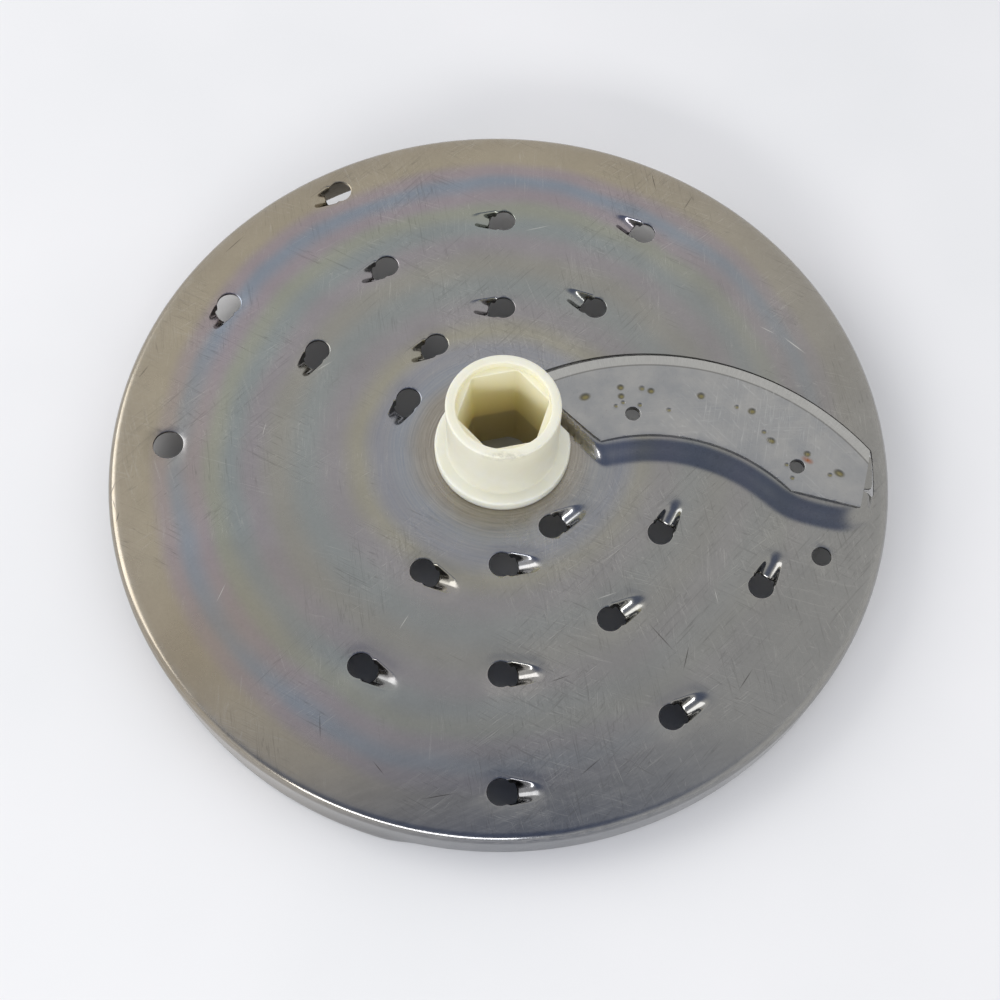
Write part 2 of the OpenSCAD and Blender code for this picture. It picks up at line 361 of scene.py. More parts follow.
def disc_points(n_ring):
    """Outlines of the plate's openings, and loose points: sparse on the plain sheet, dense where it is pressed."""
    holes = [key_outline(), slot_outline()]
    tooth = tooth_outline()
    for centre, a in PLACES:
        holes.append(turned(tooth, a) + centre)
    for a in PIN_A:
        holes.append(circle_outline(ARC_C + PIN_R * np.array([math.cos(a), math.sin(a)]), PIN_HOLE_R, 0.35))
    holes.append(circle_outline((-72.4, 0.0), 3.3, 0.4))
    a = math.radians(-20)
    holes.append(circle_outline((72.4 * math.cos(a), 72.4 * math.sin(a)), 2.15, 0.35))
    inner = DISC_R - BEND_R
    loose = []
    for i, r in enumerate(np.arange(14.0, inner - 0.4, 2.0)):
        n = int(2 * math.pi * r / 2.3)
        a = (np.arange(n) + 0.5 * (i % 2)) * 2 * math.pi / n
        loose.append(np.stack([r * np.cos(a), r * np.sin(a)], -1))
    plain = np.vstack(loose)
    x, y = np.meshgrid(np.arange(-4, 84, 0.6), np.arange(-24, 30, 0.6))
    x = x + 0.3 * (np.arange(x.shape[0]) % 2)[:, None]
    dense = np.stack([x.ravel(), y.ravel()], -1)
    h = 0.6
    steep = np.zeros(len(dense))
    for dx, dy in ((h, 0), (-h, 0), (0, h), (0, -h), (h, h), (-h, -h)):
        steep = np.maximum(steep, np.abs(platform_height(dense + [dx, dy]) - platform_height(dense)))
    from_c = np.hypot(dense[:, 0] - ARC_C[0], dense[:, 1] - ARC_C[1])
    dense = dense[(steep > 0.004) & (from_c < SLOT_R + 1) & (np.hypot(dense[:, 0], dense[:, 1]) < inner - 0.4)]
    # Round each tooth the points lie along and across its trough.
    us = np.r_[np.arange(-4.6, 2.0, 0.45), np.arange(2.0, 9.2, 0.26), np.arange(9.3, 10.8, 0.45)]
    vs = np.r_[np.arange(-5.0, -3.0, 0.5), np.arange(-2.9, -1.3, 0.16), np.arange(-1.3, 1.31, 0.32),
               np.arange(1.46, 3.0, 0.16), np.arange(3.1, 5.1, 0.5)]
    uu, vv = np.meshgrid(us, vs, indexing="ij")
    vv = vv + 0.04 * (np.arange(uu.shape[0]) % 2)[:, None]
    patch = np.stack([uu.ravel(), vv.ravel()], -1)
    ring2 = offset_ring(tooth, 0.13)
    patch = patch[~inside(offset_ring(tooth, 0.2), patch)]
    patch = np.vstack([patch, ring2])
    sets = [dense]
    for centre, a in PLACES:
        q = turned(patch, a) + centre
        sets.append(q[np.hypot(q[:, 0], q[:, 1]) < inner - 0.3])
    for hole in (holes[0], holes[1], *holes[2 + TOOTH_N:]):
        sets.append(offset_ring(hole, 0.15))
    fine = np.vstack(sets)
    # Sparse points give way to the dense ones near them.
    tree = KDTree(len(fine))
    for i, q in enumerate(fine):
        tree.insert((q[0], q[1], 0.0), i)
    tree.balance()
    far = np.array([tree.find((q[0], q[1], 0.0))[2] > 0.9 for q in plain])
    outer = circle_outline((0, 0), inner, 2 * math.pi * inner / n_ring + 1e-6)
    return outer, holes, np.vstack([plain[far], fine])


def flare(a):
    """Outward bend of the rim at its lower edge: it grows along the dented stretch and ends abruptly."""
    d = np.degrees(a) % 360
    grow = smooth_step((d - 212) / 34) * (1 - smooth_step((d - 254) / 5))
    return 0.65 * grow


def disc_mesh():
    """Points and faces of the whole disc: upper face, underside, cut edges and rim."""
    n_ring = 480
    outer, holes, loose = disc_points(n_ring)
    p, tris = triangulated(outer, holes, loose)
    edges = rim_edges(tris)
    z = plate_height(p)
    n = plate_normals(p)
    top = np.column_stack([p, z])
    bottom = top - SHEET * n
    r = np.hypot(p[:, 0], p[:, 1])
    inner = DISC_R - BEND_R
    cut = np.array([e for e in edges if min(r[e[0]], r[e[1]]) < inner - 0.02])
    on_cut = np.unique(cut)
    # Cut edges are broken by a tenth of a millimetre.
    top[on_cut] -= 0.07 * n[on_cut]
    bottom[on_cut] += 0.04 * n[on_cut]
    count = len(p)
    points = [top, bottom]
    faces = [tuple(t) for t in tris] + [tuple(count + t[::-1]) for t in tris]
    faces += [(a, count + a, count + b, b) for a, b in cut]
    rim = np.where(r > inner - 0.02)[0]
    rim = rim[np.argsort(np.arctan2(p[rim, 1], p[rim, 0]))]
    a = np.arctan2(p[rim, 1], p[rim, 0])
    spread = flare(a)
    section = []
    for t in np.linspace(90, 0, 10)[1:]:
        t = math.radians(t)
        section.append((inner + BEND_R * math.cos(t), -BEND_R + BEND_R * math.sin(t)))
    for zz in np.linspace(-BEND_R, -RIM_H + 0.3, 9)[1:]:
        section.append((DISC_R, zz))
    for t in (-30, -60, -90):
        t = math.radians(t)
        section.append((DISC_R - 0.3 + 0.3 * math.cos(t), -RIM_H + 0.3 + 0.3 * math.sin(t)))
    section.append((DISC_R - SHEET + 0.1, -RIM_H))
    section.append((DISC_R - SHEET, -RIM_H + 0.1))
    for zz in np.linspace(-RIM_H, -BEND_R, 7)[1:]:
        section.append((DISC_R - SHEET, zz))
    for t in np.linspace(0, 90, 7)[1:-1]:
        t = math.radians(t)
        rr = BEND_R - SHEET
        section.append((inner + rr * math.cos(t), -BEND_R + rr * math.sin(t)))
    base = 2 * count
    rings = [list(rim)]
    for i, (sr, sz) in enumerate(section):
        w = max(0.0, (-sz - 2.0) / (RIM_H - 2.0)) ** 2
        rad = sr + spread * w
        points.append(np.column_stack([rad * np.cos(a), rad * np.sin(a), np.full(len(a), sz)]))
        rings.append([base + i * len(a) + j for j in range(len(a))])
    rings.append([count + j for j in rim])
    for low, high in zip(rings, rings[1:]):
        for j in range(len(a)):
            k = (j + 1) % len(a)
            faces.append((low[j], high[j], high[k], low[k]))
    return np.vstack(points), faces


# The slicing blade is ground from flat strip: a broad bevel runs down to the
# cutting edge, and the strip lies on the platform under its spot welds.
# Weld marks: place, half length, half width, direction of the length.
WELDS = [
    (18.07, 11.36, 1.25, 0.85, 20), (26.00, 13.85, 0.8, 0.7, 0), (26.09, 11.64, 0.75, 0.7, 0),
    (26.42, 10.10, 0.5, 0.45, 0), (24.85, 9.21, 0.5, 0.45, 0), (30.72, 13.67, 0.7, 0.65, 0),
    (32.72, 13.07, 0.8, 0.7, 0), (30.15, 9.53, 0.55, 0.5, 0), (36.46, 8.38, 0.6, 0.5, 0),
    (43.77, 11.97, 0.9, 0.8, 0), (54.86, 8.30, 0.9, 0.75, 0), (58.60, 1.11, 1.0, 0.7, -25),
    (57.15, 3.22, 0.6, 0.5, 0), (66.25, -2.02, 0.8, 0.7, 0), (72.83, -6.59, 1.2, 0.8, -30),
    (70.77, -7.02, 0.6, 0.5, 0), (51.54, 9.33, 0.55, 0.5, 0), (61.53, -4.66, 0.5, 0.45, 0),
    (62.52, -7.83, 0.55, 0.5, 0),
]


def blade_outline():
    """The blade's plan: cutting edge, outer end square to the rear line, rear line and arc, inner end with its step."""
    a = np.radians(np.linspace(30, 125, 2400))
    edge = np.stack([EDGE_C[0] + EDGE_R * np.cos(a), EDGE_C[1] + EDGE_R * np.sin(a)], -1)
    keep = (along(edge, REAR_A - math.pi / 2) < 77.9) & (along(edge, BLADE_END_A) > 15.1)
    edge = edge[keep]
    b = np.radians(np.linspace(125, 30, 2000))
    rear = np.stack([ARC_C[0] + BLADE_REAR_R * np.cos(b), ARC_C[1] + BLADE_REAR_R * np.sin(b)], -1)
    keep = (along(rear, REAR_A) > 5.55) & (along(rear, BLADE_END_A) > 15.5)
    rear = rear[keep]
    u, v = REAR_A - math.pi / 2, REAR_A
    def at(du, dv):
        """Point du along the rear line and dv off it."""
        return np.array([du * math.cos(u) + dv * math.cos(v), du * math.sin(u) + dv * math.sin(v)])
    low = along(edge[:1], v)[0]
    end = np.array([at(77.9, t) for t in np.linspace(5.55, low, 30)])
    start = along(rear[-1:], u)[0]
    back = np.array([at(t, 5.55) for t in np.linspace(start, 77.9, 40)])
    step_c = 40.6
    a_in = math.radians(109.5)
    best = min(np.radians(np.linspace(100, 118, 4000)),
               key=lambda t: abs(along((ARC_C + step_c * np.array([[math.cos(t), math.sin(t)]])), BLADE_END_A)[0] - 15.3))
    notch = ARC_C + step_c * np.array([math.cos(best), math.sin(best)])
    inner = np.linspace(edge[-1], notch, 30)
    ring = np.vstack([edge, inner[1:], rear, back[1:], end[1:-1]])
    return resample(eased(resample(ring, 0.12), 3), 0.4)


def blade_height(p):
    """Height of the blade's upper face above its underside: flat, then the ground bevel, with dished weld marks."""
    r = np.hypot(p[:, 0] - EDGE_C[0], p[:, 1] - EDGE_C[1])
    drop = (BLADE_T - EDGE_T) / BEVEL_W
    z = BLADE_T - drop * np.maximum(r - (EDGE_R - BEVEL_W), 0.0)
    for x, y, long, short, a in WELDS:
        q = turned(p - [x, y], -math.radians(a))
        d = np.hypot(q[:, 0] / long, q[:, 1] / short)
        z = z - 0.09 * np.exp(-(np.maximum(d - 0.45, 0.0) / 0.4) ** 2) + 0.035 * np.exp(-((d - 1.25) / 0.25) ** 2)
    return z


def blade_mesh():
    """Points and faces of the blade: upper face, underside and the ground sides between them."""
    outer = blade_outline()
    holes = [circle_outline(ARC_C + PIN_R * np.array([math.cos(a), math.sin(a)]), PIN_HOLE_R, 0.3) for a in PIN_A]
    x, y = np.meshgrid(np.arange(10, 84, 0.75), np.arange(-20, 27, 0.65))
    x = x + 0.37 * (np.arange(x.shape[0]) % 2)[:, None]
    sets = [np.stack([x.ravel(), y.ravel()], -1)]
    for r in (EDGE_R - BEVEL_W - 0.12, EDGE_R - BEVEL_W + 0.12, EDGE_R - 1.8, EDGE_R - 0.9):
        sets.append(arc(EDGE_C, r, math.radians(30), math.radians(125), 0.5))
    for wx, wy, long, short, a in WELDS:
        g = np.linspace(-1.9, 1.9, 17)
        gx, gy = np.meshgrid(g * long, g * short)
        sets.append(turned(np.stack([gx.ravel(), gy.ravel()], -1), math.radians(a)) + [wx, wy])
    sets += [offset_ring(outer, -0.12)] + [offset_ring(h, 0.12) for h in holes]
    p, tris = triangulated(outer, holes, np.vstack(sets))
    edges = rim_edges(tris)
    on_edge = np.unique(edges)
    z = blade_height(p)
    r = np.hypot(p[:, 0] - EDGE_C[0], p[:, 1] - EDGE_C[1])
    blunt = np.where(r > EDGE_R - 0.05, 0.0, 0.06)
    z[on_edge] -= blunt[on_edge]
    top = np.column_stack([p, PLATFORM_H + z])
    bottom = np.column_stack([p, np.full(len(p), PLATFORM_H)])
    count = len(p)
    faces = [tuple(t) for t in tris] + [tuple(count + t[::-1]) for t in tris]
    faces += [(a, count + a, count + b, b) for a, b in edges]
    return np.vstack([top, bottom]), faces


# The hub is one ivory moulding: a tube with a hexagonal socket right through
# it, a round recess at each end and two flanges that clamp the plate.
HUB_ABOVE = 20.0
HUB_BELOW = 14.0
TUBE_R = 12.05
FLANGE_R = 14.75
FLANGE_T = 2.8
LOWER_FLANGE_T = 2.0
FLANGE_FLAT = 12.6
HEX_AF = 17.0
HEX_TURN = math.radians(12.4)
RECESS_R = 9.95
RECESS_H = 1.8


def hub_mesh():
    """Points and faces of the hub: its section, a closed line, swept once round the axis."""
    n = 432
    a = np.arange(n) * 2 * math.pi / n
    sector = (a - HEX_TURN) % (math.pi / 3) - math.pi / 6
    hexagon = HEX_AF / 2 / np.cos(sector)
    corner = 9.62
    hexagon = round_min(hexagon, np.full(n, corner), 0.12)
    flat = np.where(np.cos(a - HUB_SIDE_A) > 0.2, FLANGE_FLAT / np.maximum(np.cos(a - HUB_SIDE_A), 0.2), 99.0)
    key = np.minimum(13.07, 12.17 / np.maximum(np.abs(np.cos(a - HUB_SIDE_A)), 1e-6))

    def tube(r):
        return np.full(n, float(r))

    def flange(r):
        return np.minimum(r, flat - (FLANGE_R - r) * 0.9)

    def quarter(r, z, e, a0, a1, f, steps=5):
        """A quarter round of radius e about (r, z), from a0 to a1 degrees."""
        for t in np.radians(np.linspace(a0, a1, steps)):
            yield f(r + e * math.cos(t)), z + e * math.sin(t)

    top, low = HUB_ABOVE, -HUB_BELOW
    under = -SHEET - LOWER_FLANGE_T
    line = []
    line += quarter(TUBE_R - 0.4, low + 0.4, 0.4, -90, 0, tube)
    line += [(tube(TUBE_R), z) for z in np.linspace(low + 1.2, under - 0.5, 5)]
    line += quarter(TUBE_R + 0.3, under - 0.3, 0.3, 180, 90, tube, 4)
    line += quarter(FLANGE_R - 0.3, under + 0.3, 0.3, -90, 0, tube, 4)
    line += quarter(FLANGE_R - 0.3, -SHEET - 0.3, 0.3, 0, 90, tube, 4)
    line += [(tube(13.6), -SHEET), (key, -SHEET), (key, 0.0), (flange(FLANGE_R - 0.4), 0.0)]
    line += quarter(FLANGE_R - 0.15, 0.15, 0.15, -90, 0, flange, 3)
    line += [(flange(FLANGE_R), z) for z in (0.9, 1.6)]
    line += quarter(FLANGE_R - 0.55, FLANGE_T - 0.55, 0.55, 0, 90, flange, 7)
    line += [(np.minimum(flange(13.6), 13.6), FLANGE_T)]
    line += quarter(TUBE_R + 0.35, FLANGE_T + 0.35, 0.35, 270, 180, tube, 5)
    line += [(tube(TUBE_R), z) for z in np.linspace(FLANGE_T + 1.0, top - 1.0, 12)]
    line += quarter(TUBE_R - 0.5, top - 0.5, 0.5, 0, 90, tube, 7)
    line += quarter(RECESS_R + 0.18, top - 0.18, 0.18, 90, 180, tube, 4)
    line += [(tube(RECESS_R), z) for z in (top - 0.8, top - RECESS_H)]
    line += [(np.minimum(hexagon + 0.12, RECESS_R - 0.01), top - RECESS_H), (hexagon, top - RECESS_H - 0.12)]
    line += [(hexagon, z) for z in np.linspace(top - 3, low + 3, 12)]
    line += [(hexagon, low + RECESS_H + 0.12), (np.minimum(hexagon + 0.12, RECESS_R - 0.01), low + RECESS_H)]
    line += [(tube(RECESS_R), low + RECESS_H), (tube(RECESS_R), low + 0.8)]
    line += quarter(RECESS_R + 0.18, low + 0.18, 0.18, 180, 270, tube, 4)
    points, faces = [], []
    for r, z in line:
        points.append(np.column_stack([r * np.cos(a), r * np.sin(a), np.full(n, z)]))
    m = len(line)
    for i in range(m):
        k = (i + 1) % m
        for j in range(n):
            q = (j + 1) % n
            faces.append((i * n + j, i * n + q, k * n + q, k * n + j))
    return np.vstack(points), faces


def colour(text):
    """Linear colour from an sRGB hex code."""
    c = [int(text[i:i + 2], 16) / 255 for i in (1, 3, 5)]
    return tuple((v / 12.92 if v <= 0.04045 else ((v + 0.055) / 1.055) ** 2.4) for v in c) + (1.0,)


class Nodes:
    """A material's node tree: each call adds one node, sets its inputs and returns its result."""

    def __init__(self, name):
        self.material = bpy.data.materials.new(name)
        self.material.use_nodes = True
        self.tree = self.material.node_tree
        self.tree.nodes.clear()
        coords = self.tree.nodes.new("ShaderNodeTexCoord")
        self.place = self.add("ShaderNodeVectorMath", {0: coords.outputs["Object"], 1: (1000, 1000, 1000)},
                              operation="MULTIPLY")
        axes = self.tree.nodes.new("ShaderNodeSeparateXYZ")
        self.tree.links.new(self.place, axes.inputs[0])
        self.x, self.y, self.z = axes.outputs

    def add(self, kind, inputs=None, result=0, **settings):
        node = self.tree.nodes.new(kind)
        for key, value in settings.items():
            setattr(node, key, value)
        for key, value in (inputs or {}).items():
            if isinstance(value, bpy.types.NodeSocket):
                self.tree.links.new(value, node.inputs[key])
            else:
                node.inputs[key].default_value = value
        return node.outputs[result]

    def math(self, operation, a, b=0.0, clamp=False):
        return self.add("ShaderNodeMath", {0: a, 1: b}, operation=operation, use_clamp=clamp)

    def ramp(self, value, stops, smooth=True):
        """Colour or grey over a value: stops are pairs of position and colour."""
        node = self.tree.nodes.new("ShaderNodeValToRGB")
        self.tree.links.new(value, node.inputs[0])
        node.color_ramp.interpolation = "EASE" if smooth else "LINEAR"
        marks = node.color_ramp.elements
        while len(marks) < len(stops):
            marks.new(0.5)
        for mark, (at, shade) in zip(marks, stops):
            mark.position = at
            mark.color = colour(shade) if isinstance(shade, str) else (shade, shade, shade, 1)
        return node.outputs[0]

    def noise(self, scale, detail=4.0, rough=0.55, vector=None, twist=0.0):
        """Noise with about scale features a millimetre."""
        return self.add("ShaderNodeTexNoise", {"Vector": vector or self.place, "Scale": scale, "Detail": detail,
                                               "Roughness": rough, "Distortion": twist})

    def mix(self, share, a, b, blend="MIX"):
        node = self.tree.nodes.new("ShaderNodeMix")
        node.data_type = "RGBA"
        node.blend_type = blend
        for index, value in ((0, share), (6, a), (7, b)):
            if isinstance(value, bpy.types.NodeSocket):
                self.tree.links.new(value, node.inputs[index])
            else:
                node.inputs[index].default_value = value
        return node.outputs[2]

    def spot(self, x, y, rx, ry=None, turn=0.0, soft=0.5):
        """One within an oval about (x, y), falling to nothing at its edge."""
        ry = ry or rx
        m = self.add("ShaderNodeMapping", {"Vector": self.place, "Location": (x, y, 0),
                                           "Rotation": (0, 0, math.radians(turn)), "Scale": (rx, ry, 1e4)},
                     vector_type="TEXTURE")
        far = self.add("ShaderNodeVectorMath", {0: m}, result=1, operation="LENGTH")
        return self.add("ShaderNodeMapRange", {0: far, 1: 1.0 - soft, 2: 1.0, 3: 1.0, 4: 0.0})

    def turned_place(self, x, y, turn, sx, sy):
        """Coordinates about (x, y), turned and scaled, for streaks."""
        return self.add("ShaderNodeMapping", {"Vector": self.place, "Location": (x, y, 0),
                                              "Rotation": (0, 0, math.radians(turn)), "Scale": (sx, sy, 1.0)},
                        vector_type="TEXTURE")

    def finish(self, **inputs):
        out = self.tree.nodes.new("ShaderNodeOutputMaterial")
        shader = self.add("ShaderNodeBsdfPrincipled", inputs)
        self.tree.links.new(shader, out.inputs[0])
        return self.material


def scratches(m, count, seed, width=0.035):
    """Fine random scratches: noise stretched along several directions, cut to thin lines and broken up."""
    total = None
    for i in range(count):
        turn = (seed * 37 + i * 53) % 180
        v = m.turned_place(seed * 3.1 + i * 7.7, seed * 1.7, turn, 34.0, 1.1)
        v = m.add("ShaderNodeVectorMath", {0: v, 1: (i * 5.3, seed, 0)}, operation="ADD")
        n = m.noise(1.0, 2.0, 0.5, v, 0.15)
        line = m.math("ABSOLUTE", m.math("SUBTRACT", n, 0.5))
        line = m.add("ShaderNodeMapRange", {0: line, 1: 0.0, 2: width / 4, 3: 1.0, 4: 0.0})
        gate = m.noise(0.035 + 0.01 * i, 2.0)
        gate = m.add("ShaderNodeMapRange", {0: gate, 1: 0.50, 2: 0.60})
        line = m.math("MULTIPLY", line, gate)
        total = line if total is None else m.math("MAXIMUM", total, line)
    return total


# Dark cracks and lone scratches: place, half length, half width, direction.
MARKS = [
    (-83.0, -10.5, 1.9, 0.16, 75), (-82.3, -14.2, 1.7, 0.14, 110), (-81.2, -17.3, 1.5, 0.13, 80),
    (-79.6, 18.0, 2.2, 0.10, 60), (-62.5, 52.0, 3.5, 0.10, 50), (36.0, 72.0, 3.0, 0.12, 100),
    (44.0, 66.0, 2.6, 0.11, 60), (33.0, -43.0, 4.2, 0.12, 130), (38.0, -47.5, 3.1, 0.12, 75),
    (12.0, -52.0, 2.6, 0.10, 20), (-36.0, -62.0, 3.0, 0.10, 95), (-12.0, -76.0, 4.0, 0.12, 10),
    (18.0, -70.0, 3.4, 0.10, 40), (-24.0, -70.5, 2.0, 0.10, 130), (50.0, -52.0, 3.0, 0.12, 55),
]
# Painted highlights: bright glints along lone scratches, by place, half length, half width and direction.
GLINTS = [
    (66.5, 27.0, 3.4, 0.16, -42), (60.5, 31.0, 2.2, 0.10, -30), (-40.0, 20.0, 2.6, 0.09, 35),
    (-52.0, 4.0, 1.8, 0.09, 80), (22.0, -34.0, 2.6, 0.10, 20), (-20.0, -40.0, 2.2, 0.08, 60),
    (45.0, -34.0, 2.0, 0.08, 100), (8.0, 58.0, 3.4, 0.08, 15), (-58.0, -34.0, 2.4, 0.08, 70),
]


def plate_material():
    """Satin stainless sheet, washed and heat-tinted for years: faint rings of straw, pink, blue and green,
    brown-grey wear round the hub, straw stain at the lower left, fine scratches and dull water marks,
    a painted dark bluish reflection low in front and painted glints along a few scratches."""
    m = Nodes("stainless_plate_satin")
    r = m.math("SQRT", m.math("ADD", m.math("MULTIPLY", m.x, m.x), m.math("MULTIPLY", m.y, m.y)))
    turn = m.math("ARCTAN2", m.y, m.x)
    wobble = m.math("MULTIPLY", m.math("SUBTRACT", m.noise(0.03, 3.0, 0.5), 0.5), 6.0)
    # The rings lie round the left half of the disc and fade to the lower right.
    ring = m.math("MULTIPLY", m.math("ADD", r, wobble), 1 / 90.0)
    tint = m.ramp(ring, [
        (0.00, "#96918a"), (0.18, "#8f897f"), (0.24, "#878d98"), (0.29, "#95908f"), (0.34, "#999587"),
        (0.40, "#928e90"), (0.47, "#8c908f"), (0.54, "#929089"), (0.60, "#928d90"), (0.65, "#8a9090"),
        (0.70, "#93958a"), (0.74, "#968d92"), (0.785, "#858d99"), (0.82, "#998e91"), (0.86, "#a19784"),
        (0.94, "#9c9281")])
    left = m.add("ShaderNodeMapRange", {0: m.math("ADD", m.math("MULTIPLY", m.x, -0.8), m.math("MULTIPLY", m.y, 0.6)),
                                        1: -70.0, 2: 20.0})
    grey = colour("#8e8d8a")
    body = m.mix(m.math("MULTIPLY", left, 0.9), grey, tint)
    # Straw stain low on the left, and a paler straw band along the left rim.
    straw = m.math("MULTIPLY", m.spot(-60, -45, 30, 22, 38, 0.9), 0.45)
    body = m.mix(straw, body, colour("#9a8d78"))
    band = m.math("MULTIPLY", m.spot(-74, 8, 14, 44, 8, 0.9), 0.5)
    body = m.mix(band, body, colour("#9c9382"))
    # Wear and old residue round the hub.
    dirt = m.noise(0.35, 6.0, 0.7)
    round_hub = m.add("ShaderNodeMapRange", {0: r, 1: 14.0, 2: 25.0, 3: 1.0, 4: 0.0})
    residue = m.math("MULTIPLY", m.math("MULTIPLY", round_hub, round_hub), m.math("MULTIPLY", dirt, 0.9), True)
    body = m.mix(residue, body, colour("#75695a"))
    blue_ring = m.add("ShaderNodeMapRange", {0: m.math("ABSOLUTE", m.math("SUBTRACT", m.math("ADD", r, wobble), 26.0)),
                                             1: 0.0, 2: 4.5, 3: 0.5, 4: 0.0})
    body = m.mix(blue_ring, body, colour("#7f8796"))
    # Cloudy water marks and fine mottling.
    cloud = m.add("ShaderNodeMapRange", {0: m.noise(0.06, 5.0, 0.6), 1: 0.3, 2: 0.7, 3: -0.06, 4: 0.07})
    speck = m.add("ShaderNodeMapRange", {0: m.noise(1.6, 4.0, 0.7), 1: 0.3, 2: 0.7, 3: -0.035, 4: 0.035})
    shade = m.math("ADD", 1.0, m.math("ADD", cloud, speck))
    body = m.mix(1.0, body, m.add("ShaderNodeCombineColor", {0: shade, 1: shade, 2: shade}), "MULTIPLY")
    # Painted reflection: low on the disc the sheet is painted darker and bluish, standing for the dark room it reflects
    # there; denser scuffs run across it.
    low = m.math("MULTIPLY", m.spot(4, -92, 70, 34, 8, 0.85), 0.85)
    scuffed = m.add("ShaderNodeMapRange", {0: m.noise(1.0, 5.0, 0.7, m.turned_place(0, 0, 20, 9.0, 1.4)), 1: 0.45, 2: 0.65})
    reflection_and_scuffs = m.mix(m.math("MULTIPLY", scuffed, 0.5), colour("#565c69"), colour("#8a8c90"))
    body = m.mix(low, body, reflection_and_scuffs)
    # Scratches: bright hairlines and darker, broader ones.
    fine = scratches(m, 4, 3)
    body = m.mix(m.math("MULTIPLY", fine, 0.20), body, colour("#c9c7c1"))
    dark = scratches(m, 3, 11, 0.05)
    body = m.mix(m.math("MULTIPLY", dark, 0.32), body, colour("#4a4846"))
    # Short cracks run in from the rim at the left, and a few deeper scratches stand alone.
    for x, y, long, wide, a in MARKS:
        body = m.mix(m.math("MULTIPLY", m.spot(x, y, long, wide, a, 0.6), 0.75), body, colour("#3c3836"))
    # Painted highlights: the glints are bright streaks along a few other scratches.
    for x, y, long, wide, a in GLINTS:
        body = m.mix(m.math("MULTIPLY", m.spot(x, y, long, wide, a, 0.6), 0.6), body, colour("#dcdad4"))
    # Turning on the stem has worn rings round the hub.
    circle = m.add("ShaderNodeCombineXYZ", {0: m.math("MULTIPLY", turn, 1.6), 1: m.math("MULTIPLY", r, 2.6), 2: 0.0})
    worn = m.add("ShaderNodeMapRange", {0: m.noise(1.0, 6.0, 0.7, circle), 1: 0.35, 2: 0.70})
    near = m.add("ShaderNodeMapRange", {0: r, 1: 15.0, 2: 33.0, 3: 0.55, 4: 0.0})
    body = m.mix(m.math("MULTIPLY", worn, near), body, colour("#b9b5ac"))
    # The turned-down rim is scuffed along its length.
    rub = m.add("ShaderNodeCombineXYZ", {0: m.math("MULTIPLY", turn, 30.0), 1: m.math("MULTIPLY", m.z, 5.0), 2: 0.0})
    scuff = m.noise(1.0, 5.0, 0.65, rub)
    on_rim = m.add("ShaderNodeMapRange", {0: r, 1: 82.0, 2: 84.5})
    scuff = m.math("MULTIPLY", on_rim, m.add("ShaderNodeMapRange", {0: scuff, 1: 0.35, 2: 0.7}))
    body = m.mix(m.math("MULTIPLY", scuff, 0.5), body, colour("#a9a8a6"))
    rough = m.add("ShaderNodeMapRange", {0: m.noise(0.09, 5.0, 0.6), 1: 0.3, 2: 0.7, 3: 0.25, 4: 0.36})
    rough = m.math("SUBTRACT", rough, m.math("MULTIPLY", fine, 0.06))
    # The die has burnished the sheet where it is bent: teeth, ramps and rim.
    face = m.tree.nodes.new("ShaderNodeNewGeometry")
    axes = m.tree.nodes.new("ShaderNodeSeparateXYZ")
    m.tree.links.new(face.outputs["Normal"], axes.inputs[0])
    bent = m.add("ShaderNodeMapRange", {0: axes.outputs[2], 1: 0.995, 2: 0.93})
    rough = m.math("SUBTRACT", rough, m.math("MULTIPLY", bent, 0.13))
    # Relief: faint orange peel from pressing, and shallow waves.
    height = m.math("ADD", m.math("MULTIPLY", m.noise(0.9, 3.0, 0.5), 0.004), m.math("MULTIPLY", m.noise(0.04, 2.0), 0.03))
    bump = m.add("ShaderNodeBump", {"Strength": 1.0, "Distance": 0.001, "Height": height})
    return m.finish(**{"Base Color": body, "Metallic": 1.0, "Roughness": rough, "Normal": bump,
                       "Anisotropic": 0.0})


